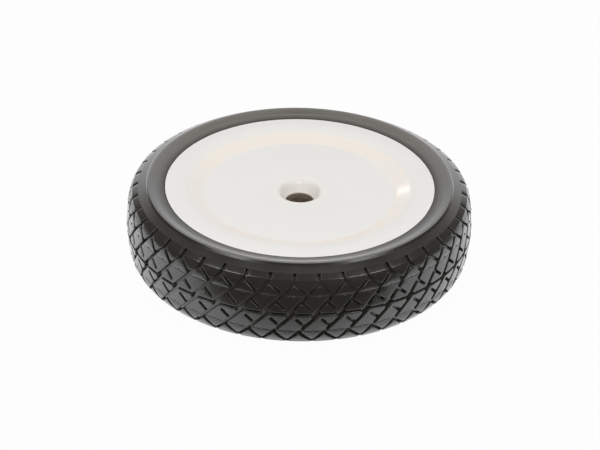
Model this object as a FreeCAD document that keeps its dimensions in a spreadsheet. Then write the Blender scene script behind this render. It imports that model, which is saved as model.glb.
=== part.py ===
import FreeCAD, Part
import math
import os
import Sketcher

# A lawn mower wheel: a rubber tyre with a diamond tread on two pressed steel discs, with a plain steel hub sleeve.
# The axle runs along Z and the middle of the wheel is the origin. Lengths are in millimetres, turns in degrees.
# A half is a height above the middle of the wheel, on both sides alike, and an inset is taken from the tyre's half.
# A drop is taken from the radius of the tread.
SIZES = {
    # Tyre section
    "tread_radius": 101.6,
    "crease_drop": 1.2,
    "crease_half": 11.25,
    "shoulder_drop": 3.8,
    "shoulder_inset": 5.8,
    "corner_drop": 6.0,
    "corner_inset": 3.6,
    "ledge_drop": 12.0,
    "ledge_inset": 1.2,
    "ledge_width": 0.5,
    "ridge_drop": 13.5,
    "ridge_land": 1.2,
    "ridge_wall": 0.7,
    "tyre_half": 25.4,
    # Tread grooves of one of the repeats round the tyre
    "tread_repeats": 45,
    "tread_turn": 5.85,
    "groove_width": 1.7,
    "groove_depth": 2.2,
    "centre_width": 1.5,
    "long_turn": 9.8,
    "centre_jog": 1.5,
    "apex_inset": 6.5,
    "short_turn": 4.4,
    "short_drop": 6.7,
    "sipe_width": 1.6,
    "sipe_half": 7.7,
    "sipe_turn": 2.8,
    "sipe_drop": 4.6,
    "stub_drop": 7.4,
    # Pressed discs
    "sheet": 1.4,
    "rim_radius": 78.66,
    "rim_inset": 2.6,
    "rim_lip": 4.6,
    "lip_ease": 0.7,
    "seat_radius": 73.0,
    "seat_half": 12.0,
    "seat_gap": 0.1,
    "bead_gap": 0.35,
    "step_outer": 67.6,
    "step_inner": 55.8,
    "step_drop": 4.6,
    "step_ease": 1.1,
    "funnel_radius": 15.4,
    "funnel_ease": 1.3,
    "mouth_half": 11.4,
    "mouth_ease": 0.5,
    "neck_half": 5.0,
    # Hub sleeve
    "sleeve_radius": 7.94,
    "sleeve_gap": 0.03,
    "bore_radius": 6.39,
    "sleeve_half": 10.2,
    "bore_chamfer": 0.4,
}


class Size:
    """A number together with the sheet formula that gives it."""

    def __init__(self, value, formula):
        self.value = value
        self.formula = formula

    def joined(self, other, sign, work):
        if not isinstance(other, Size):
            other = Size(other, str(other))
        return Size(work(self.value, other.value), f"({self.formula} {sign} {other.formula})")

    def __add__(self, other):
        return self.joined(other, "+", lambda a, b: a + b)

    def __sub__(self, other):
        return self.joined(other, "-", lambda a, b: a - b)

    def __mul__(self, other):
        return self.joined(other, "*", lambda a, b: a * b)

    def __truediv__(self, other):
        return self.joined(other, "/", lambda a, b: a / b)

    def __neg__(self):
        return Size(-self.value, f"(-{self.formula})")

    def sine(self):
        return Size(math.sin(math.radians(self.value)), f"sin({self.formula})")


NOTHING = Size(0.0, "0")


def size(name):
    return Size(SIZES[name], f"sizes.{name}")


def radius_below(drop):
    return size("tread_radius") - size(drop)


def half_inside(inset):
    return size("tyre_half") - size(inset)


def half_turn_tangent(rise, run):
    """Tangent of half the angle of a slope: how far a bend moves the sheet's other face along."""
    slope = rise / run
    return Size(math.tan(math.atan(slope.value) / 2), f"tan(atan({slope.formula}) / 2)")


def make_sheet(doc):
    sheet = doc.addObject("Spreadsheet::Sheet", "sizes")
    for row, (name, value) in enumerate(SIZES.items(), start=1):
        sheet.set(f"A{row}", name)
        sheet.set(f"B{row}", str(value))
        sheet.setAlias(f"B{row}", name)
    doc.recompute()


def origin_part(body, role):
    return next(item for item in body.Origin.OriginFeatures if item.Role == role)


def new_sketch(body, name):
    """A sketch in the XZ plane: its X is the radius or the way round the tread, and its Y is the height."""
    sketch = body.newObject("Sketcher::SketchObject", name)
    sketch.AttachmentSupport = [(origin_part(body, "XZ_Plane"), "")]
    sketch.MapMode = "FlatFace"
    return sketch


def bind(sketch, constraint, formula):
    index = sketch.addConstraint(constraint)
    sketch.setExpression(f"Constraints[{index}]", formula)


def pin(sketch, line, end, place):
    """Hold one end of a line at a place given by two sizes."""
    for kind, axis, distance in (("DistanceX", -2, place[0]), ("DistanceY", -1, place[1])):
        if distance.value == 0:
            sketch.addConstraint(Sketcher.Constraint("PointOnObject", line, end, axis))
        elif distance.value > 0:
            bind(sketch, Sketcher.Constraint(kind, -1, 1, line, end, distance.value), distance.formula)
        else:
            away = -distance
            bind(sketch, Sketcher.Constraint(kind, line, end, -1, 1, away.value), away.formula)


def point(place):
    return FreeCAD.Vector(place[0].value, place[1].value, 0)


def draw_outline(sketch, corners):
    """Draw a closed outline, anticlockwise."""
    lines = []
    for index, corner in enumerate(corners):
        after = corners[(index + 1) % len(corners)]
        lines.append(sketch.addGeometry(Part.LineSegment(point(corner), point(after)), False))
    for index, line in enumerate(lines):
        after = lines[(index + 1) % len(lines)]
        sketch.addConstraint(Sketcher.Constraint("Coincident", line, 2, after, 1))
        pin(sketch, line, 1, corners[index])


def draw_slot(sketch, start, end, width):
    """Draw a straight slot of the given width about the line from start to end."""
    along = point(end) - point(start)
    across = FreeCAD.Vector(-along.y, along.x, 0).normalize() * (width.value / 2)
    corners = [point(start) + across, point(start) - across, point(end) - across, point(end) + across]
    middle = sketch.addGeometry(Part.LineSegment(point(start), point(end)), True)
    sides = []
    for index in range(4):
        sides.append(sketch.addGeometry(Part.LineSegment(corners[index], corners[(index + 1) % 4]), False))
    for index, side in enumerate(sides):
        sketch.addConstraint(Sketcher.Constraint("Coincident", side, 2, sides[(index + 1) % 4], 1))
        relation = "Perpendicular" if index % 2 == 0 else "Parallel"
        sketch.addConstraint(Sketcher.Constraint(relation, side, middle))
    for index, end_of_middle in ((0, 1), (2, 2)):
        sketch.addConstraint(Sketcher.Constraint("PointOnObject", middle, end_of_middle, sides[index]))
    for index in (1, 3):
        bind(sketch, Sketcher.Constraint("Distance", middle, 1, sides[index], width.value / 2), (width / 2).formula)
    pin(sketch, middle, 1, start)
    pin(sketch, middle, 2, end)


def revolve(body, sketch, name, kind="PartDesign::Revolution"):
    feature = body.newObject(kind, name)
    feature.Profile = sketch
    feature.ReferenceAxis = (sketch, ["V_Axis"])
    feature.Angle = 360
    return feature


def circle_edges(shape, radius, height):
    """Names of the circles about the axle with this radius, at this height."""
    names = []
    for number, edge in enumerate(shape.Edges, start=1):
        if not isinstance(edge.Curve, Part.Circle):
            continue
        same_radius = abs(edge.Curve.Radius - radius.value) < 0.01
        if same_radius and abs(edge.Curve.Center.z - height.value) < 0.01:
            names.append(f"Edge{number}")
    return names


def below(places):
    """The same places on the other side of the middle, in the opposite order."""
    return [(radius, -height) for radius, height in reversed(places)]


def ring_of_flats(doc, name, middle_radius, upper, hole_radius):
    """A ring whose crown is made of flats, two to each repeat of the tread."""
    sections = []
    for number, (radius, height) in enumerate(below(upper) + [(middle_radius, NOTHING)] + upper):
        polygon = doc.addObject("Part::RegularPolygon", f"{name}Flats{number}")
        polygon.setExpression("Polygon", (size("tread_repeats") * 2).formula)
        polygon.setExpression("Circumradius", radius.formula)
        polygon.setExpression("Placement.Base.z", height.formula)
        sections.append(polygon)
    loft = doc.addObject("Part::Loft", f"{name}Loft")
    loft.Sections = sections
    loft.Solid = True
    loft.Ruled = True
    hole = doc.addObject("Part::Cylinder", f"{name}Hole")
    hole.setExpression("Radius", hole_radius.formula)
    hole.setExpression("Height", (size("tyre_half") * 2).formula)
    hole.setExpression("Placement.Base.z", (-size("tyre_half")).formula)
    ring = doc.addObject("Part::Cut", name)
    ring.Base = loft
    ring.Tool = hole
    ring.Refine = False
    return ring


def groove_slots():
    """Grooves of one repeat, above the middle, on the flat that touches the tread: start, end and width of each."""
    half_jog = size("centre_jog") / 2
    pitch = Size(360.0, "360") / size("tread_repeats")
    apex_turn = size("long_turn") - half_jog
    foot = (-(size("tread_radius") * half_jog.sine()), NOTHING)
    apex = (radius_below("shoulder_drop") * apex_turn.sine(), half_inside("apex_inset"))
    near_apex = (radius_below("shoulder_drop") * (apex_turn - pitch).sine(), half_inside("apex_inset"))
    short_turn = apex_turn - pitch + size("short_turn")
    short_end = (size("tread_radius") * short_turn.sine(), half_inside("apex_inset") - size("short_drop"))
    stub_start = (near_apex[0], half_inside("apex_inset") - size("groove_width") / 2)
    stub_end = (near_apex[0], size("tyre_half"))
    sipe_turn = size("long_turn") * (size("sipe_half") / half_inside("apex_inset")) - half_jog
    sipe_start = (size("tread_radius") * sipe_turn.sine(), size("sipe_half"))
    sipe_end_turn = sipe_turn + size("sipe_turn")
    sipe_end = (size("tread_radius") * sipe_end_turn.sine(), size("sipe_half") - size("sipe_drop"))
    return {
        "LongGrooves": [(foot, apex, size("groove_width"))],
        "ShortGrooves": [
            (near_apex, short_end, size("groove_width")),
            (sipe_start, sipe_end, size("sipe_width")),
        ],
        "StubGrooves": [(stub_start, stub_end, size("groove_width"))],
    }


def make_tyre(doc):
    depth = size("groove_depth")
    stub_radius = radius_below("stub_drop")
    reach = size("tread_radius") + depth
    ledge_inner = radius_below("ledge_drop") - size("ledge_width")
    base_radius = size("seat_radius") + size("seat_gap")
    bead_radius = size("rim_radius") + size("bead_gap")
    crown = [
        (radius_below("crease_drop"), size("crease_half")),
        (radius_below("shoulder_drop"), half_inside("shoulder_inset")),
    ]
    side_wall = [
        (radius_below("corner_drop"), half_inside("corner_inset")),
        (radius_below("ledge_drop"), half_inside("ledge_inset")),
    ]
    band = ring_of_flats(doc, "TreadBand", size("tread_radius"), crown + side_wall, ledge_inner - depth)
    floor = [(radius - depth, height) for radius, height in crown]
    floor.append((stub_radius - depth, half_inside("corner_inset")))
    core = ring_of_flats(doc, "TreadCore", size("tread_radius") - depth, floor, ledge_inner - depth * 2)

    # Tread: each slot is cut deeper than its floor, above the middle and turned round below it
    tread = doc.addObject("PartDesign::Body", "Tread")
    tread.AllowCompound = True
    tread.BaseFeature = band
    pockets = []
    for name, slots in groove_slots().items():
        sketch = new_sketch(tread, f"{name}Sketch")
        sketch.setExpression("AttachmentOffset.Base.z", reach.formula)
        for (start_x, start_y), (end_x, end_y), width in slots:
            draw_slot(sketch, (start_x, start_y), (end_x, end_y), width)
            draw_slot(sketch, (-start_x, -start_y), (-end_x, -end_y), width)
        pocket = tread.newObject("PartDesign::Pocket", name)
        pocket.Profile = sketch
        pocket.Type = "Length"
        pocket.setExpression("Length", (reach - stub_radius).formula)
        pocket.Refine = False
        pockets.append(pocket)
    pattern = tread.newObject("PartDesign::PolarPattern", "TreadPattern")
    pattern.Originals = pockets
    pattern.Axis = (origin_part(tread, "Z_Axis"), [""])
    pattern.Angle = 360
    pattern.setExpression("Occurrences", size("tread_repeats").formula)
    pattern.Refine = False
    tread.Tip = pattern
    half_width = size("centre_width") / 2
    centre = new_sketch(tread, "CentreSketch")
    centre_upper = [(reach, half_width), (stub_radius, half_width)]
    draw_outline(centre, centre_upper + below(centre_upper))
    groove = revolve(tread, centre, "CentreGroove", "PartDesign::Groove")
    groove.Refine = False

    # Carcass: ridge and bead on each side, and the base that fills the rim channel
    carcass = doc.addObject("PartDesign::Body", "Carcass")
    section = new_sketch(carcass, "CarcassSketch")
    half_land = size("ridge_land") / 2
    carcass_upper = [
        (ledge_inner, size("tyre_half") - size("ridge_wall")),
        (radius_below("ridge_drop") + half_land, size("tyre_half")),
        (radius_below("ridge_drop") - half_land, size("tyre_half")),
        (bead_radius, half_inside("rim_inset")),
        (bead_radius, half_inside("rim_inset") - size("rim_lip")),
        (base_radius, size("seat_half")),
    ]
    draw_outline(section, carcass_upper + below(carcass_upper))
    revolve(carcass, section, "CarcassRing")

    # The core closes the slots again below their depth, so that their floors follow the crown
    tyre = doc.addObject("Part::MultiFuse", "tyre")
    tyre.Shapes = [tread, core, carcass]
    tyre.Refine = False
    tyre.setExpression("Placement.Rotation.Angle", size("tread_turn").formula)
    return tyre


def make_disc(doc, name):
    sheet = size("sheet")
    neck_radius = size("sleeve_radius") + size("sleeve_gap")
    centre_half = half_inside("rim_inset") - size("step_drop")
    lip_half = half_inside("rim_inset") - size("rim_lip")
    flank_shift = sheet * half_turn_tangent(size("rim_radius") - size("seat_radius"), lip_half - size("seat_half"))
    step_shift = sheet * half_turn_tangent(size("step_drop"), size("step_outer") - size("step_inner"))
    funnel_drop = centre_half - size("mouth_half")
    funnel_run = size("funnel_radius") - neck_radius
    funnel_shift = sheet * half_turn_tangent(funnel_drop, funnel_run)
    mouth_shift = sheet * half_turn_tangent(funnel_run, funnel_drop)

    # Outer face, from the rim channel over the lip and down the step and the funnel into the neck, bends eased
    step_slope = size("step_drop") / (size("step_outer") - size("step_inner"))
    funnel_slope = funnel_drop / funnel_run
    lip_ease = size("lip_ease")
    step_ease = size("step_ease")
    funnel_ease = size("funnel_ease")
    mouth_ease = size("mouth_ease")
    outside = [
        (size("seat_radius"), NOTHING),
        (size("seat_radius"), size("seat_half")),
        (size("rim_radius"), lip_half),
        (size("rim_radius"), half_inside("rim_inset") - lip_ease),
        (size("rim_radius") - lip_ease, half_inside("rim_inset")),
        (size("step_outer") + step_ease, half_inside("rim_inset")),
        (size("step_outer") - step_ease, half_inside("rim_inset") - step_ease * step_slope),
        (size("step_inner"), centre_half),
        (size("funnel_radius") + funnel_ease, centre_half),
        (size("funnel_radius") - funnel_ease, centre_half - funnel_ease * funnel_slope),
        (neck_radius + mouth_ease, size("mouth_half") + mouth_ease * funnel_slope),
        (neck_radius, size("mouth_half") - mouth_ease),
        (neck_radius, size("neck_half")),
    ]
    # The same way back on the hidden face, one sheet inside
    inside = [
        (neck_radius + sheet, size("neck_half")),
        (neck_radius + sheet, size("mouth_half") - mouth_shift),
        (size("funnel_radius") + funnel_shift, centre_half - sheet),
        (size("step_inner") + step_shift, centre_half - sheet),
        (size("step_outer") + step_shift, half_inside("rim_inset") - sheet),
        (size("rim_radius") - sheet, half_inside("rim_inset") - sheet),
        (size("rim_radius") - sheet, lip_half + flank_shift),
        (size("seat_radius") - sheet, size("seat_half") + flank_shift),
        (size("seat_radius") - sheet, NOTHING),
    ]
    body = doc.addObject("PartDesign::Body", name)
    section = new_sketch(body, "DiscSketch")
    draw_outline(section, outside + inside)
    revolve(body, section, "DiscSheet")
    return body


def make_sleeve(doc):
    body = doc.addObject("PartDesign::Body", "hub_sleeve")
    half = size("sleeve_half")
    section = new_sketch(body, "SleeveSketch")
    sleeve_upper = [(size("sleeve_radius"), half), (size("bore_radius"), half)]
    draw_outline(section, sleeve_upper + below(sleeve_upper))
    tube = revolve(body, section, "SleeveTube")
    doc.recompute()
    chamfer = body.newObject("PartDesign::Chamfer", "BoreChamfers")
    ends = circle_edges(tube.Shape, size("bore_radius"), half)
    ends += circle_edges(tube.Shape, size("bore_radius"), -half)
    chamfer.Base = (tube, ends)
    chamfer.setExpression("Size", size("bore_chamfer").formula)
    return body


def check(doc, pieces):
    for item in doc.Objects:
        for mark in ("Invalid", "Error"):
            if mark in item.State:
                raise RuntimeError(f"{item.Name} is {mark}")
    for piece in pieces:
        if piece.Shape.isNull() or not piece.Shape.isValid():
            raise RuntimeError(f"{piece.Label} has no valid shape")


def main():
    doc = FreeCAD.newDocument("mower_wheel")
    make_sheet(doc)
    tyre = make_tyre(doc)
    outer_disc = make_disc(doc, "outer_disc")
    inner_disc = make_disc(doc, "inner_disc")
    inner_disc.Placement = FreeCAD.Placement(FreeCAD.Vector(), FreeCAD.Rotation(FreeCAD.Vector(1, 0, 0), 180))
    hub_sleeve = make_sleeve(doc)
    doc.recompute()
    pieces = [tyre, outer_disc, inner_disc, hub_sleeve]
    check(doc, pieces)
    os.makedirs("parts", exist_ok=True)
    for piece in pieces:
        piece.Shape.exportStep(f"parts/{piece.Label}.step")
        print(piece.Label, len(piece.Shape.Solids), "solid", round(piece.Shape.Volume), "mm3")


main()
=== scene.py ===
import math
import bmesh
import bpy
from mathutils import Matrix, Vector


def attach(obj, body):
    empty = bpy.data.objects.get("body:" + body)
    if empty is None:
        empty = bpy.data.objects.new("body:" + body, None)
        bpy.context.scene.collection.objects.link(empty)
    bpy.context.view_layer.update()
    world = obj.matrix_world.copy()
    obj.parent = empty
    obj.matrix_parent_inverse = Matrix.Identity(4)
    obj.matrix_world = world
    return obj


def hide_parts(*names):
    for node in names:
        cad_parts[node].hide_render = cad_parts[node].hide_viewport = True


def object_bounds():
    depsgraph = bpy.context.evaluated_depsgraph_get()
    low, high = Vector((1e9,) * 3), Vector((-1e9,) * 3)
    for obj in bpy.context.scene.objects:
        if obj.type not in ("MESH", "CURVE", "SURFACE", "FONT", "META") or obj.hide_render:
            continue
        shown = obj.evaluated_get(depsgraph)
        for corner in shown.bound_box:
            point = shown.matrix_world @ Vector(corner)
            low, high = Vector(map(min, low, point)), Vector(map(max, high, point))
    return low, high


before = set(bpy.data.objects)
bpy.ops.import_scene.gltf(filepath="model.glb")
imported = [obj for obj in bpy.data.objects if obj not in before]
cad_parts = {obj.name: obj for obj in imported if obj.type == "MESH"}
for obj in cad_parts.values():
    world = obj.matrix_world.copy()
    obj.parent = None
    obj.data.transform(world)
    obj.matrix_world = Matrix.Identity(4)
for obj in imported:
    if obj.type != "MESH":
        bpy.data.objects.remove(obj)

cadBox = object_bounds()
scene = bpy.context.scene
mm = 0.001  # sizes of the pieces are in millimetres and degrees
nearly = 0.001  # two places this close, in millimetres, are one
fullTurn = 2 * math.pi
white = (1.0, 1.0, 1.0)


# Shared mesh helpers

arcShare = 0.49  # an arc takes at most this share of each side next to it


def roundedPath(corners, steps, closed=False):
    # corners are (x, y, round); each inner corner becomes an arc of that radius
    path = []
    count = len(corners)
    for index, (x, y, radius) in enumerate(corners):
        here = Vector((x, y))
        if radius == 0 or (not closed and index in (0, count - 1)):
            path.append(here)
            continue
        before = Vector(corners[index - 1][:2]) - here
        after = Vector(corners[(index + 1) % count][:2]) - here
        half = before.angle(after) / 2
        run = min(radius / math.tan(half), arcShare * before.length, arcShare * after.length)
        before.normalize()
        after.normalize()
        centre = here + (before + after).normalized() * (run / math.cos(half))
        start = here + before * run - centre
        end = here + after * run - centre
        sweep = math.copysign(start.angle(end), start.cross(end))
        for step in range(steps + 1):
            turn = sweep * step / steps
            path.append(centre + Vector((
                start.x * math.cos(turn) - start.y * math.sin(turn),
                start.x * math.sin(turn) + start.y * math.cos(turn))))
    return path


def onWheel(radius, turn, height):
    # from round the axle line, in millimetres, to the scene; turn 0 faces the camera
    return radius * math.sin(turn) * mm, -radius * math.cos(turn) * mm, height * mm


def addLathe(mesh, path, segments, closed=True, slot=0):
    # path holds (radius, height) points, turned about Z
    turns = [fullTurn * step / segments for step in range(segments)]
    rings = [[mesh.verts.new(onWheel(radius, turn, height)) for turn in turns] for radius, height in path]
    pairs = list(zip(rings, rings[1:]))
    if closed:
        pairs.append((rings[-1], rings[0]))
    for lower, upper in pairs:
        for step in range(segments):
            after = (step + 1) % segments
            face = mesh.faces.new((lower[step], lower[after], upper[after], upper[step]))
            face.material_index = slot


def finishPiece(mesh, name, node, materials, sharpDeg):
    # the mesh becomes a piece that stands for its CAD node
    bmesh.ops.recalc_face_normals(mesh, faces=mesh.faces)
    for face in mesh.faces:
        face.smooth = True
    data = bpy.data.meshes.new(name)
    mesh.to_mesh(data)
    mesh.free()
    data.set_sharp_from_angle(angle=math.radians(sharpDeg))
    for material in materials:
        data.materials.append(material)
    piece = bpy.data.objects.new(name, data)
    scene.collection.objects.link(piece)
    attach(piece, "root")
    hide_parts(node)
    print(name, "triangles", sum(len(face.vertices) - 2 for face in data.polygons))


# Shared material helpers

mixFirst, mixSecond, mixResult = 6, 7, 2  # the colour sockets of a Mix node


def rgba(colour):
    return (*colour, 1.0)


def metres(sizes):
    return [size * mm for size in sizes]


def newMaterial(name):
    material = bpy.data.materials.new(name)
    material.use_nodes = True
    tree = material.node_tree
    return material, tree, tree.nodes["Principled BSDF"]


def addNode(tree, kind, settings=None, **inputs):
    node = tree.nodes.new(kind)
    for key, value in (settings or {}).items():
        setattr(node, key, value)
    for key, value in inputs.items():
        node.inputs[key].default_value = value
    return node


def coordsOf(tree, kind="Object"):
    return addNode(tree, "ShaderNodeTexCoord").outputs[kind]


def splitOf(tree, coords):
    split = addNode(tree, "ShaderNodeSeparateXYZ")
    tree.links.new(coords, split.inputs["Vector"])
    return split.outputs


def noiseOf(tree, coords, scale, detail):
    noise = addNode(tree, "ShaderNodeTexNoise", Scale=scale, Detail=detail)
    tree.links.new(coords, noise.inputs["Vector"])
    return noise.outputs["Fac"]


def rampOf(tree, factor, span, colours):
    # from one colour at the low end of the span to the other at its high end
    ramp = addNode(tree, "ShaderNodeValToRGB")
    for element, position, colour in zip(ramp.color_ramp.elements, span, colours):
        element.position = position
        element.color = rgba(colour)
    tree.links.new(factor, ramp.inputs["Fac"])
    return ramp.outputs["Color"]


def rangeOf(tree, factor, span, result):
    # the span of the factor becomes the two ends of the result
    node = addNode(tree, "ShaderNodeMapRange")
    node.inputs["From Min"].default_value, node.inputs["From Max"].default_value = span
    node.inputs["To Min"].default_value, node.inputs["To Max"].default_value = result
    tree.links.new(factor, node.inputs["Value"])
    return node.outputs["Result"]


def mathOf(tree, work, first, second=None):
    node = addNode(tree, "ShaderNodeMath", {"operation": work})
    for socket, value in zip(node.inputs, (first, second)):
        if isinstance(value, float):
            socket.default_value = value
        elif value is not None:
            tree.links.new(value, socket)
    return node.outputs["Value"]


def mixOf(tree, factor, first, colour):
    # from a linked colour to a plain one
    node = addNode(tree, "ShaderNodeMix", {"data_type": "RGBA"})
    tree.links.new(factor, node.inputs["Factor"])
    tree.links.new(first, node.inputs[mixFirst])
    node.inputs[mixSecond].default_value = rgba(colour)
    return node.outputs[mixResult]


def radiusOf(tree, coords):
    # distance from the axle line
    flat = addNode(tree, "ShaderNodeVectorMath", {"operation": "MULTIPLY"})
    flat.inputs[1].default_value = (1.0, 1.0, 0.0)
    tree.links.new(coords, flat.inputs[0])
    length = addNode(tree, "ShaderNodeVectorMath", {"operation": "LENGTH"})
    tree.links.new(flat.outputs["Vector"], length.inputs[0])
    return length.outputs["Value"]


def bumpOf(tree, height, strength, distance):
    bump = addNode(tree, "ShaderNodeBump", Strength=strength, Distance=distance)
    tree.links.new(height, bump.inputs["Height"])
    return bump.outputs["Normal"]


def shaderMix(tree, factor, first, second):
    # first and second are shader nodes
    mix = addNode(tree, "ShaderNodeMixShader")
    tree.links.new(factor, mix.inputs["Fac"])
    tree.links.new(first.outputs[0], mix.inputs[1])
    tree.links.new(second.outputs[0], mix.inputs[2])
    return mix


# Tyre

tyreSettings = {
    # half of the section: radius, half width and rounding, from the middle of the tread to the rim channel
    "treadRadius": 101.42,
    "creaseRadius": 100.35, "creaseHalf": 11.25, "creaseRound": 60.0,
    "bulgeRadius": 99.75, "bulgeHalf": 16.5, "bulgeRound": 14.0,
    "shoulderRadius": 97.5, "shoulderHalf": 20.2, "shoulderRound": 1.1,
    "cornerRadius": 93.6, "cornerHalf": 22.6, "cornerRound": 12.0,
    "ledgeRadius": 89.6, "ledgeHalf": 24.15, "ledgeRound": 0.5,
    "ridgeRadius": 88.65, "ridgeHalf": 25.4, "ridgeRound": 0.8,
    "brinkRadius": 87.1, "brinkHalf": 25.36, "brinkRound": 1.2,
    "hollowRadius": 83.15, "hollowHalf": 23.85, "hollowRound": 12.0,
    "beadRadius": 78.73, "beadHalf": 22.86, "beadRound": 0.04, "beadFoot": 21.6, "footRound": 0.3,
    "lipRadius": 78.75, "lipHalf": 18.2, "baseRadius": 73.12, "seatHalf": 12.0,
    "sectionSteps": 4, "ridgeSteps": 6, "sideSegments": 288, "sharpDeg": 50,
    # one repeat of the tread: a long groove, a short one back from its apex, a stub slot and a sipe
    "repeats": 45, "treadTurn": 5.85, "grooveWidth": 1.75, "grooveDepth": 2.2,
    "centreWidth": 1.5, "centreJog": 1.5, "longTurn": 9.8, "apexHalf": 18.9,
    "shortTurn": 4.4, "shortDrop": 6.7, "stubRadius": 94.2,
    "sipeWidth": 1.6, "sipeHalf": 7.9, "sipeTurn": 3.0, "sipeDrop": 4.9,
    # edges and marks of a block
    "blockRound": 1.3, "sipeRound": 1.1, "tipShare": 1 / 3, "outlineSteps": 3,
    "edgeRun": 0.48, "edgeDrop": 0.44, "edgeSteps": 4, "wallDraft": 0.2,
    "creaseDepth": 0.16, "creaseWidth": 0.3,
    "pipRadius": 0.7, "pipHeight": 0.3, "pipSides": 10,
    "pipRings": ((1.0, -0.15), (0.85, 0.3), (0.5, 0.85)),  # shares of its radius and height
    # cuts that let a crown bend with the tyre
    "alongCuts": (2, 20, 3), "pastCrease": 2.0,
    "aroundCuts": (-2, 11), "aroundPitch": 3.3, "crownShare": 0.3,
    # where hidden walls and floors run past each other
    "wallSink": 0.15, "sideSink": 0.3, "floorReach": 0.4, "floorSteps": 18, "floorSegments": 270,
    # rubber, and a paler rubber in the grooves, painted light that lifts the shade there
    "rubber": (0.024, 0.0232, 0.0218), "rubberCoat": 0.8, "paintedGrooveLight": (0.085, 0.082, 0.077), "grooveCoat": 0.2,
    "darkShare": 0.82, "paleShare": 1.25, "rough": (0.22, 0.30), "gloss": 0.9,
    "coatRough": 0.16, "coatIor": 1.5,
    "mattBead": (78.2, 85.0), "mattCoat": 0.0, "mattRough": 0.6,  # the bead is duller towards the disc
    "cloudScale": 38.0, "cloudDetail": 3.0, "cloudSpan": (0.3, 0.7),
    "grainScale": 900.0, "grainDetail": 3.0, "grainBump": 0.12, "grainHeight": 0.2,
}
radiusAxis, heightAxis = 0, 1  # of a point on the section
rubberSlot, litGrooveSlot = 0, 1  # of the tyre's two materials
insetLimit = 0.3  # keeps the inset of a sharp corner short


def tyreSection():
    # half of the section, from the middle of the tread over the shoulder to the foot of the ridge
    t = tyreSettings
    corners = [(t["treadRadius"], 0, 0)]
    corners += [(t[name + "Radius"], t[name + "Half"], t[name + "Round"])
                for name in ("crease", "bulge", "shoulder", "corner", "ledge")]
    return roundedPath(corners, t["sectionSteps"])


class TreadSheet:
    # the tread's skin laid flat: x runs round the tyre, as a length at treadRadius,
    # y along the section from its middle, and z out of the skin
    def __init__(self):
        t = tyreSettings
        self.path = tyreSection()
        self.lengths = [0.0]
        for before, after in zip(self.path, self.path[1:]):
            self.lengths.append(self.lengths[-1] + (after - before).length)
        self.crease = self.lengthAt(t["creaseHalf"], heightAxis)
        self.sideEnd = self.lengthAt(t["stubRadius"], radiusAxis)  # where the blocks and stub slots stop

    def lengthAt(self, value, axis):
        # length along the section where its radius or height has this value
        for index in range(1, len(self.path)):
            low, high = self.path[index - 1][axis], self.path[index][axis]
            if min(low, high) <= value <= max(low, high) and low != high:
                share = (value - low) / (high - low)
                return self.lengths[index - 1] + share * (self.lengths[index] - self.lengths[index - 1])
        return self.lengths[-1]

    def section(self, along):
        # point and outward normal of the section at a length from the middle
        index = 1
        while index < len(self.lengths) - 1 and self.lengths[index] < along:
            index += 1
        share = (along - self.lengths[index - 1]) / (self.lengths[index] - self.lengths[index - 1])
        tangents = []
        for spot in (index - 1, index):
            low = self.path[max(spot - 1, 0)]
            high = self.path[min(spot + 1, len(self.path) - 1)]
            tangents.append((high - low).normalized())
        tangent = tangents[0].lerp(tangents[1], share).normalized()
        return self.path[index - 1].lerp(self.path[index], share), Vector((tangent.y, -tangent.x))

    def place(self, around, along, height, turned, repeat):
        # from the sheet to the scene; turned is the lower half, a half turn about a line across the tyre
        t = tyreSettings
        spot, normal = self.section(along)
        spot += normal * height
        turn = around / t["treadRadius"]
        start = math.radians(t["treadTurn"]) + fullTurn * repeat / t["repeats"]
        return onWheel(spot.x, start - turn, -spot.y) if turned else onWheel(spot.x, start + turn, spot.y)


def crossing(line, otherLine):
    # where two lines on the sheet meet; a line is a point and its way
    (spot, way), (otherSpot, otherWay) = line, otherLine
    return spot + way * ((otherSpot - spot).cross(otherWay) / way.cross(otherWay))


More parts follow.
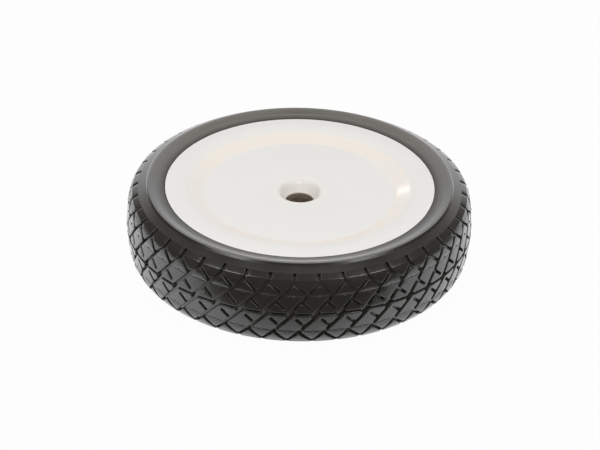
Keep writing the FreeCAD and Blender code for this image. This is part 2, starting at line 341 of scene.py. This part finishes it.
def blockOutlines(sheet):
    # the shoulder block and the middle block of one repeat, anticlockwise
    t = tyreSettings
    perDeg = math.radians(t["treadRadius"])

    def spot(turn, height):
        return Vector(((turn - t["centreJog"] / 2) * perDeg, sheet.lengthAt(height, heightAxis)))

    # middle lines of the grooves
    foot = spot(0, 0)
    apex = spot(t["longTurn"], t["apexHalf"])
    shortEnd = spot(t["longTurn"] + t["shortTurn"], t["apexHalf"] - t["shortDrop"])
    sipeFoot = t["longTurn"] * t["sipeHalf"] / t["apexHalf"]  # the sipe starts on the long groove
    sipeTop = spot(sipeFoot, t["sipeHalf"])
    sipeEnd = spot(sipeFoot + t["sipeTurn"], t["sipeHalf"] - t["sipeDrop"])
    longWay = (apex - foot).normalized()
    shortWay = (shortEnd - apex).normalized()
    sipeWay = (sipeEnd - sipeTop).normalized()
    upWay, levelWay = Vector((0, 1)), Vector((1, 0))
    pitch = levelWay * 360 / t["repeats"] * perDeg

    # walls of the blocks, half a groove from those lines
    longSide = Vector((longWay.y, -longWay.x)) * t["grooveWidth"] / 2
    shortSide = Vector((-shortWay.y, shortWay.x)) * t["grooveWidth"] / 2
    stubSide = levelWay * t["grooveWidth"] / 2
    sipeSide = Vector((-sipeWay.y, sipeWay.x)) * t["sipeWidth"] / 2
    left = (foot + longSide, longWay)
    right = (foot + pitch - longSide, longWay)
    above = (apex + shortSide, shortWay)
    below = (apex - shortSide, shortWay)
    stubLeft = (apex + stubSide, upWay)
    stubRight = (apex + pitch - stubSide, upWay)
    centre = (upWay * t["centreWidth"] / 2, levelWay)
    sipeAbove = (sipeTop + sipeSide, sipeWay)
    sipeBelow = (sipeTop - sipeSide, sipeWay)

    # corners with their rounding
    bend, sipeBend = t["blockRound"], t["sipeRound"]
    tipBend = bend * t["tipShare"]
    shoulder = [
        (*crossing(above, right), bend),
        (*crossing(right, stubRight), bend),
        (stubRight[0].x, sheet.sideEnd, 0),
        (stubLeft[0].x, sheet.sideEnd, 0),
        (*crossing(stubLeft, above), bend),
    ]
    middle = [
        (*crossing(left, centre), bend),
        (*crossing(right, centre), bend),
        (*crossing(right, below), bend),
        (*crossing(below, left), bend),
        (*crossing(left, sipeAbove), sipeBend),
        (*(sipeEnd + sipeSide), tipBend),
        (*(sipeEnd - sipeSide), tipBend),
        (*crossing(left, sipeBelow), sipeBend),
    ]
    return [roundedPath(corners, t["outlineSteps"], closed=True) for corners in (shoulder, middle)]


def insetOutline(outline, amount):
    moved = []
    count = len(outline)
    for index, here in enumerate(outline):
        before = (here - outline[index - 1]).normalized()
        after = (outline[(index + 1) % count] - here).normalized()
        normal = Vector((-before.y - after.y, before.x + after.x))
        normal /= max(normal.length_squared / 2, insetLimit)
        moved.append(here + normal * amount)
    return moved


def flatBlock(outline, sheet):
    # one block on the sheet: a crown, a rounded edge, and walls down past the groove floor
    t = tyreSettings
    rings = []
    for step in range(t["edgeSteps"] + 1):
        turn = math.pi / 2 * step / t["edgeSteps"]
        rings.append((t["edgeRun"] * (1 - math.sin(turn)), -t["edgeDrop"] * (1 - math.cos(turn))))
    rings.append((-t["wallDraft"], -t["grooveDepth"] - t["wallSink"]))
    block = bmesh.new()
    loops = []
    for inset, height in rings:
        loop = []
        for place, moved in zip(outline, insetOutline(outline, inset)):
            inside = place.y < sheet.sideEnd - nearly
            along = min(moved.y, sheet.sideEnd) if inside else sheet.sideEnd
            loop.append(block.verts.new((moved.x, along, height)))
        loops.append(loop)
    crown = block.faces.new(loops[0])
    for upper, lower in zip(loops, loops[1:]):
        for index in range(len(upper)):
            after = (index + 1) % len(upper)
            face = block.faces.new((upper[index], lower[index], lower[after], upper[after]))
            # the lowest ring of the walls takes the paler groove rubber, painted light in the grooves
            face.material_index = litGrooveSlot if lower is loops[-1] else rubberSlot
    crown.normal_update()
    bmesh.ops.triangulate(block, faces=[crown])
    return block


def cutCrown(block, sheet):
    # the cuts let the crown bend with the tyre, and hold the fine crease round it
    t = tyreSettings
    alongWay, aroundWay = Vector((0, 1, 0)), Vector((1, 0, 0))
    shoulderStart = sheet.crease + t["pastCrease"]
    cuts = [(alongWay, length) for length in range(*t["alongCuts"])]
    cuts += [(alongWay, length) for length in sheet.lengths if shoulderStart < length < sheet.sideEnd]
    cuts += [(alongWay, sheet.crease + t["creaseWidth"] * side) for side in (-1, 0, 1)]
    cuts += [(aroundWay, count * t["aroundPitch"]) for count in range(*t["aroundCuts"])]
    lowest = -t["edgeDrop"] * t["crownShare"]
    for way, length in cuts:
        crown = [face for face in block.faces if all(vert.co.z > lowest for vert in face.verts)]
        parts = set(crown)
        for face in crown:
            parts.update(face.edges)
            parts.update(face.verts)
        bmesh.ops.bisect_plane(
            block, geom=list(parts), dist=nearly / 10, plane_co=way * length, plane_no=way)
    for vert in block.verts:
        if abs(vert.co.y - sheet.crease) < nearly and vert.co.z > -nearly:
            vert.co.z -= t["creaseDepth"]


def flatPip(outline, sheet):
    # the moulding pip in the middle of a block's crease
    t = tyreSettings
    crossings = []
    for before, after in zip(outline[-1:] + outline, outline):
        if (before.y - sheet.crease) * (after.y - sheet.crease) < 0:
            share = (sheet.crease - before.y) / (after.y - before.y)
            crossings.append(before.lerp(after, share).x)
    middle = sum(crossings) / len(crossings)
    turns = [fullTurn * side / t["pipSides"] for side in range(t["pipSides"])]
    pip = bmesh.new()
    rings = []
    for share, rise in t["pipRings"]:
        ring = []
        for turn in turns:
            across = share * t["pipRadius"] * Vector((math.cos(turn), math.sin(turn)))
            ring.append(pip.verts.new((middle + across.x, sheet.crease + across.y, rise * t["pipHeight"])))
        rings.append(ring)
    for lower, upper in zip(rings, rings[1:]):
        for side in range(t["pipSides"]):
            after = (side + 1) % t["pipSides"]
            pip.faces.new((lower[side], lower[after], upper[after], upper[side]))
    pip.faces.new(rings[-1])
    return pip


def copyOnTyre(mesh, block, sheet):
    # the block at every repeat, above and below the middle
    block.verts.index_update()
    for repeat in range(tyreSettings["repeats"]):
        for turned in (False, True):
            made = [mesh.verts.new(sheet.place(*vert.co, turned, repeat)) for vert in block.verts]
            for face in block.faces:
                copied = mesh.faces.new([made[vert.index] for vert in face.verts])
                copied.material_index = face.material_index
    block.free()


def addTread(mesh, sheet):
    outlines = blockOutlines(sheet)
    for outline in outlines:
        block = flatBlock(outline, sheet)
        cutCrown(block, sheet)
        copyOnTyre(mesh, block, sheet)
    copyOnTyre(mesh, flatPip(outlines[1], sheet), sheet)  # the middle blocks have the pips
    print("tread blocks placed")


def addGrooveFloor(mesh, sheet):
    t = tyreSettings
    floor = []
    for step in range(-t["floorSteps"], t["floorSteps"] + 1):
        spot, normal = sheet.section(abs(step) / t["floorSteps"] * (sheet.sideEnd + t["floorReach"]))
        spot -= normal * t["grooveDepth"]
        floor.append((spot.x, spot.y if step >= 0 else -spot.y))
    # the groove floor takes the paler groove rubber, painted light that lifts its shade
    addLathe(mesh, floor, t["floorSegments"], closed=False, slot=litGrooveSlot)


def addSides(mesh, sheet):
    # side walls, ridges, beads and the base in the rim channel
    t = tyreSettings
    start, normal = sheet.section(sheet.sideEnd)
    buried = start - normal * (t["grooveDepth"] + t["sideSink"])
    corners = [(*start, 0)]
    corners += [(t[name + "Radius"], t[name + "Half"], t[name + "Round"])
                for name in ("ledge", "ridge", "brink", "hollow", "bead")]
    corners += [(t["beadRadius"], t["beadFoot"], t["footRound"]), (t["lipRadius"], t["lipHalf"], 0)]
    upper = [buried, *roundedPath(corners, t["ridgeSteps"]), (t["baseRadius"], t["seatHalf"])]
    lower = [(radius, -height) for radius, height in reversed(upper)]
    addLathe(mesh, upper + lower, t["sideSegments"], slot=rubberSlot)


def rubberMaterial(name, colour, coat):
    t = tyreSettings
    material, tree, shader = newMaterial(name)
    coords = coordsOf(tree)
    cloud = noiseOf(tree, coords, t["cloudScale"], t["cloudDetail"])
    grain = noiseOf(tree, coords, t["grainScale"], t["grainDetail"])
    shades = [[part * share for part in colour] for share in (t["darkShare"], t["paleShare"])]
    tree.links.new(rampOf(tree, cloud, t["cloudSpan"], shades), shader.inputs["Base Color"])
    radius = radiusOf(tree, coords)
    bead = metres(t["mattBead"])
    matt = rangeOf(tree, radius, bead, (t["mattRough"], t["rough"][0]))
    rough = mathOf(tree, "MAXIMUM", rangeOf(tree, cloud, t["cloudSpan"], t["rough"]), matt)
    tree.links.new(rough, shader.inputs["Roughness"])
    tree.links.new(rangeOf(tree, radius, bead, (t["mattCoat"], coat)), shader.inputs["Coat Weight"])
    tree.links.new(bumpOf(tree, grain, t["grainBump"], t["grainHeight"] * mm), shader.inputs["Normal"])
    shader.inputs["Specular IOR Level"].default_value = t["gloss"]
    shader.inputs["Coat Roughness"].default_value = t["coatRough"]
    shader.inputs["Coat IOR"].default_value = t["coatIor"]
    return material


def makeTyre():
    t = tyreSettings
    sheet = TreadSheet()
    mesh = bmesh.new()
    addTread(mesh, sheet)
    addGrooveFloor(mesh, sheet)
    addSides(mesh, sheet)
    rubber = rubberMaterial("tyreRubber", t["rubber"], t["rubberCoat"])
    # the grooves get a paler rubber: painted light standing in for light reaching into them
    paintedGroove = rubberMaterial("grooveRubberPaintedLight", t["paintedGrooveLight"], t["grooveCoat"])
    finishPiece(mesh, "tyreBody", "tyre", [rubber, paintedGroove], t["sharpDeg"])


# Pressed discs

discSettings = {
    # the pressed sheet: radius and half width of its outer face, from the rim channel to the neck
    "sheet": 1.4, "seatRadius": 72.98, "seatHalf": 12.0,
    "rimRadius": 78.58, "rimHalf": 22.79, "lipHalf": 18.2,
    "stepOuter": 67.6, "stepInner": 55.8, "stepDrop": 4.35,
    "funnelRadius": 12.2, "mouthHalf": 11.4, "neckRadius": 7.97, "neckHalf": 5.0,
    "middleGap": 0.01,  # a half stops this short of the middle plane
    "backRound": 1.2, "lipRound": 0.25, "stepRound": 25.0, "stepFoot": 9.0,
    "funnelRound": 4.4, "mouthRound": 0.6, "neckRound": 0.3,
    "bendSteps": 8, "segments": 256, "sharpDeg": 60,
    # enamel, with cream painted into the step and down the funnel as painted light: warm bounce light on
    # the step, brighter light in the funnel
    "enamel": (0.86, 0.857, 0.85), "shade": (0.85, 0.845, 0.835), "shadeSpan": (0.35, 0.8),
    "paintedWarmLight": (0.925, 0.875, 0.815), "warmLightFunnel": (10.5, 16.5),
    "warmLightStep": 60.0, "warmLightEdge": (3.0, 5.8),  # radius of the ring's middle, and its fade on each side
    "patchScale": 14.0, "patchDetail": 2.0, "patchSpan": (0.35, 0.65), "patchShare": (0.55, 1.0),
    "bare": (0.22, 0.185, 0.14), "bareEdge": (8.1, 8.4),  # no enamel inside the neck
    "seamShade": (0.06, 0.056, 0.05), "seamShadeEdge": (78.35, 78.5),  # painted shade along the edge where it meets the tyre
    "rough": (0.13, 0.21), "roughSpan": (0.3, 0.7), "cloudScale": 22.0, "cloudDetail": 3.0,
    "peelScale": 420.0, "peelDetail": 2.0, "peelBump": 0.03, "peelHeight": 0.2,
}


def bendShift(rise, run):
    # how far a bend's corner moves between the two faces of the sheet
    return discSettings["sheet"] * math.tan(math.atan2(rise, run) / 2)


def discSection():
    d = discSettings
    sheet = d["sheet"]
    centre = d["rimHalf"] - d["stepDrop"]
    funnelDrop = centre - d["mouthHalf"]
    funnelRun = d["funnelRadius"] - d["neckRadius"]
    stepShift = bendShift(d["stepDrop"], d["stepOuter"] - d["stepInner"])
    funnelShift = bendShift(funnelDrop, funnelRun)
    mouthShift = bendShift(funnelRun, funnelDrop)
    flankShift = bendShift(d["rimRadius"] - d["seatRadius"], d["lipHalf"] - d["seatHalf"])
    corners = [
        # outer face, then back along the inner one
        (d["seatRadius"], d["middleGap"], 0),
        (d["seatRadius"], d["seatHalf"], d["backRound"]),
        (d["rimRadius"], d["lipHalf"], d["backRound"]),
        (d["rimRadius"], d["rimHalf"], d["lipRound"]),
        (d["stepOuter"], d["rimHalf"], d["stepRound"]),
        (d["stepInner"], centre, d["stepFoot"]),
        (d["funnelRadius"], centre, d["funnelRound"]),
        (d["neckRadius"], d["mouthHalf"], d["mouthRound"]),
        (d["neckRadius"], d["neckHalf"], d["neckRound"]),
        (d["neckRadius"] + sheet, d["neckHalf"], d["neckRound"]),
        (d["neckRadius"] + sheet, d["mouthHalf"] - mouthShift, d["mouthRound"] + sheet),
        (d["funnelRadius"] + funnelShift, centre - sheet, d["funnelRound"] - sheet),
        (d["stepInner"] + stepShift, centre - sheet, d["stepFoot"] + sheet),
        (d["stepOuter"] + stepShift, d["rimHalf"] - sheet, d["stepRound"] - sheet),
        (d["rimRadius"] - sheet, d["rimHalf"] - sheet, 0),
        (d["rimRadius"] - sheet, d["lipHalf"] + flankShift, d["backRound"]),
        (d["seatRadius"] - sheet, d["seatHalf"] + flankShift, d["backRound"]),
        (d["seatRadius"] - sheet, d["middleGap"], 0),
    ]
    return roundedPath(corners, d["bendSteps"], closed=True)


def enamelMaterial():
    d = discSettings
    material, tree, shader = newMaterial("whiteEnamel")
    coords = coordsOf(tree)
    radius = radiusOf(tree, coords)
    cloud = noiseOf(tree, coords, d["cloudScale"], d["cloudDetail"])
    peel = noiseOf(tree, coords, d["peelScale"], d["peelDetail"])
    patch = noiseOf(tree, coords, d["patchScale"], d["patchDetail"])
    fromStep = mathOf(tree, "ABSOLUTE", mathOf(tree, "SUBTRACT", radius, d["warmLightStep"] * mm))
    inStep = rangeOf(tree, fromStep, metres(d["warmLightEdge"]), (1, 0))
    inFunnel = rangeOf(tree, radius, metres(d["warmLightFunnel"]), (1, 0))
    patchy = rangeOf(tree, patch, d["patchSpan"], d["patchShare"])
    # painted light: patchy cream on the step and down the funnel stands in for warm light falling on these
    # slopes
    warmLit = mathOf(tree, "MULTIPLY", mathOf(tree, "MAXIMUM", inStep, inFunnel), patchy)
    plain = rampOf(tree, cloud, d["shadeSpan"], (d["enamel"], d["shade"]))
    warmLitColour = mixOf(tree, warmLit, plain, d["paintedWarmLight"])
    inNeck = rangeOf(tree, radius, metres(d["bareEdge"]), (1, 0))
    # the outer edge is painted dark: painted shade in the gap next to the tyre
    inSeamShade = rangeOf(tree, radius, metres(d["seamShadeEdge"]), (0, 1))
    colour = mixOf(tree, inSeamShade, mixOf(tree, inNeck, warmLitColour, d["bare"]), d["seamShade"])
    tree.links.new(colour, shader.inputs["Base Color"])
    tree.links.new(rangeOf(tree, cloud, d["roughSpan"], d["rough"]), shader.inputs["Roughness"])
    tree.links.new(bumpOf(tree, peel, d["peelBump"], d["peelHeight"] * mm), shader.inputs["Normal"])
    return material


def makeDiscs():
    d = discSettings
    enamel = enamelMaterial()
    for name, node, side in (("outerDisc", "outer_disc", 1), ("innerDisc", "inner_disc", -1)):
        mesh = bmesh.new()
        addLathe(mesh, [(radius, side * height) for radius, height in discSection()], d["segments"])
        finishPiece(mesh, name, node, [enamel], d["sharpDeg"])


# Hub sleeve

sleeveSettings = {
    "radius": 7.94, "bore": 6.39, "half": 10.2, "chamfer": 0.4, "edgeRound": 0.25,
    "edgeSteps": 3, "segments": 128, "sharpDeg": 30,
    "steel": (0.36, 0.31, 0.245), "oil": (0.25, 0.205, 0.15), "metallic": 0.4,
    "stainScale": 210.0, "stainDetail": 4.0, "stainSpan": (0.35, 0.65),
    "endShade": (0.17, 0.145, 0.11), "endShadeEdge": (9.6, 9.8),  # painted shade darkens the ends, deep in the hole
    "rough": (0.38, 0.6), "roughSpan": (0.3, 0.7),
}


def sleeveMaterial():
    s = sleeveSettings
    material, tree, shader = newMaterial("oiledSteel")
    coords = coordsOf(tree)
    stain = noiseOf(tree, coords, s["stainScale"], s["stainDetail"])
    fromMiddle = mathOf(tree, "ABSOLUTE", splitOf(tree, coords)["Z"])
    # the ends are painted darker: painted shade deep in the hole
    inEndShade = rangeOf(tree, fromMiddle, metres(s["endShadeEdge"]), (0, 1))
    oiled = rampOf(tree, stain, s["stainSpan"], (s["steel"], s["oil"]))
    tree.links.new(mixOf(tree, inEndShade, oiled, s["endShade"]), shader.inputs["Base Color"])
    tree.links.new(rangeOf(tree, stain, s["roughSpan"], s["rough"]), shader.inputs["Roughness"])
    shader.inputs["Metallic"].default_value = s["metallic"]
    return material


def makeSleeve():
    s = sleeveSettings
    upper = [
        (s["radius"], s["half"], s["edgeRound"]),
        (s["bore"] + s["chamfer"], s["half"], 0),
        (s["bore"], s["half"] - s["chamfer"], 0),
    ]
    lower = [(radius, -height, bend) for radius, height, bend in reversed(upper)]
    mesh = bmesh.new()
    addLathe(mesh, roundedPath(upper + lower, s["edgeSteps"], closed=True), s["segments"])
    finishPiece(mesh, "hubSleeve", "hub_sleeve", [sleeveMaterial()], s["sharpDeg"])


# Studio, in metres and watts

studioSettings = {
    "floorSize": 12.0, "floorGap": 0.00002, "floorColour": (0.92, 0.92, 0.92), "floorGlow": 0.97,
    "frontColour": (0.22, 0.213, 0.205),  # the floor before the wheel, for all rays but the camera's
    "frontFade": (-0.136, -0.1035),
    # the bright backdrop with its soft edges, brighter towards its top
    "sweepLight": 0.95, "sweepSide": (0.52, 0.82), "sweepTop": (0.934, 0.958),
    "topLight": 1.8, "topColour": (1.0, 0.94, 0.86), "topRise": (0.45, 0.8),
    "roomLight": 0.145, "roomColour": (1.0, 0.94, 0.86), "leastAway": 0.001,
    "lamps": {  # power, width and place
        "leftLamp": (9.2, 1.0, (-1.186, -0.770, 1.685)),
        "rightLamp": (8.9, 1.0, (1.186, -0.770, 1.685)),
        "frontLamp": (15.0, 0.8, (0.0, -1.286, 1.532)),
        "glintLamp": (0.13, 0.025, (-0.345, 1.27, 0.665)),  # a small spark on the step
    },
    "discLamps": ("frontLamp", "glintLamp"),  # these fall on the outer disc alone
}


def makeFloor():
    s = studioSettings
    low = cadBox[0][2] - s["floorGap"]
    half = s["floorSize"] / 2
    data = bpy.data.meshes.new("studioFloor")
    corners = [(-half, -half, low), (half, -half, low), (half, half, low), (-half, half, low)]
    data.from_pydata(corners, [], [(0, 1, 2, 3)])
    floor = bpy.data.objects.new("studioFloor", data)
    scene.collection.objects.link(floor)
    material = bpy.data.materials.new("floorWhite")
    material.use_nodes = True
    tree = material.node_tree
    tree.nodes.clear()
    rays = addNode(tree, "ShaderNodeLightPath").outputs
    paper = addNode(tree, "ShaderNodeBsdfDiffuse")
    glow = addNode(tree, "ShaderNodeEmission", Color=rgba(white), Strength=1.0)
    behind = rangeOf(tree, splitOf(tree, coordsOf(tree))["Y"], s["frontFade"], (0, 1))
    pale = mathOf(tree, "MAXIMUM", rays["Is Camera Ray"], behind)
    colours = (s["frontColour"], s["floorColour"])
    tree.links.new(rampOf(tree, pale, (0, 1), colours), paper.inputs["Color"])
    mirrored = mathOf(tree, "MULTIPLY", rays["Is Glossy Ray"], behind)
    seen = mathOf(tree, "MAXIMUM", rays["Is Camera Ray"], mirrored)
    surface = shaderMix(tree, mathOf(tree, "MULTIPLY", seen, s["floorGlow"]), paper, glow)
    out = addNode(tree, "ShaderNodeOutputMaterial")
    tree.links.new(surface.outputs[0], out.inputs["Surface"])
    data.materials.append(material)


def makeWorld():
    # a bright paper backdrop behind the wheel in a dim warm room; the camera sees plain white
    s = studioSettings
    world = bpy.data.worlds.new("studioWorld")
    scene.world = world
    world.use_nodes = True
    tree = world.node_tree
    tree.nodes.clear()

    def glowOf(colour, strength):
        return addNode(tree, "ShaderNodeBackground", Color=rgba(colour), Strength=strength)

    way = splitOf(tree, coordsOf(tree, "Generated"))
    away = mathOf(tree, "MAXIMUM", way["Y"], s["leastAway"])
    aside = mathOf(tree, "DIVIDE", mathOf(tree, "ABSOLUTE", way["X"]), away)
    between = rangeOf(tree, aside, s["sweepSide"], (1, 0))
    under = rangeOf(tree, way["Z"], s["sweepTop"], (1, 0))
    rise = rangeOf(tree, way["Z"], s["topRise"], (0, 1))
    backdrop = shaderMix(tree, rise, glowOf(white, s["sweepLight"]), glowOf(s["topColour"], s["topLight"]))
    onBackdrop = mathOf(tree, "MULTIPLY", between, under)
    light = shaderMix(tree, onBackdrop, glowOf(s["roomColour"], s["roomLight"]), backdrop)
    cameraRay = addNode(tree, "ShaderNodeLightPath").outputs["Is Camera Ray"]
    seen = shaderMix(tree, cameraRay, light, glowOf(white, 1.0))
    out = addNode(tree, "ShaderNodeOutputWorld")
    tree.links.new(seen.outputs[0], out.inputs["Surface"])


def makeLamps():
    s = studioSettings
    discOnly = bpy.data.collections.new("discOnly")
    discOnly.objects.link(bpy.data.objects["outerDisc"])
    for name, (power, width, place) in s["lamps"].items():
        lamp = bpy.data.lights.new(name, "AREA")
        lamp.energy = power
        lamp.size = width
        holder = bpy.data.objects.new(name, lamp)
        holder.location = place
        holder.rotation_euler = (-Vector(place)).to_track_quat("-Z", "Y").to_euler()
        holder.visible_camera = False
        scene.collection.objects.link(holder)
        if name in s["discLamps"]:
            holder.light_linking.receiver_collection = discOnly


# Camera

cameraSettings = {
    "elevation": 30.74, "distance": 1101.2, "roll": 1.16, "lens": 113.3, "sensor": 36.0,
    "discHalf": 22.8, "aim": (0.55, 0.0, -28.2),  # the aim is from the middle of the disc's face
}


def makeCamera():
    c = cameraSettings
    lens = bpy.data.cameras.new("photoCamera")
    lens.lens = c["lens"]
    lens.sensor_width = c["sensor"]
    camera = bpy.data.objects.new("photoCamera", lens)
    up = math.radians(c["elevation"])
    middle = Vector((0, 0, c["discHalf"]))
    camera.location = (middle + Vector((0, -math.cos(up), math.sin(up))) * c["distance"]) * mm
    target = (middle + Vector(c["aim"])) * mm
    turn = (target - camera.location).to_track_quat("-Z", "Y").to_matrix()
    roll = Matrix.Rotation(math.radians(c["roll"]), 3, "Z")
    camera.rotation_euler = (turn @ roll).to_euler()
    scene.collection.objects.link(camera)
    scene.camera = camera


makeTyre()
makeDiscs()
makeSleeve()
makeFloor()
makeWorld()
makeLamps()
print("studio set")
makeCamera()
scene.view_settings.view_transform = "Standard"
print("camera set")
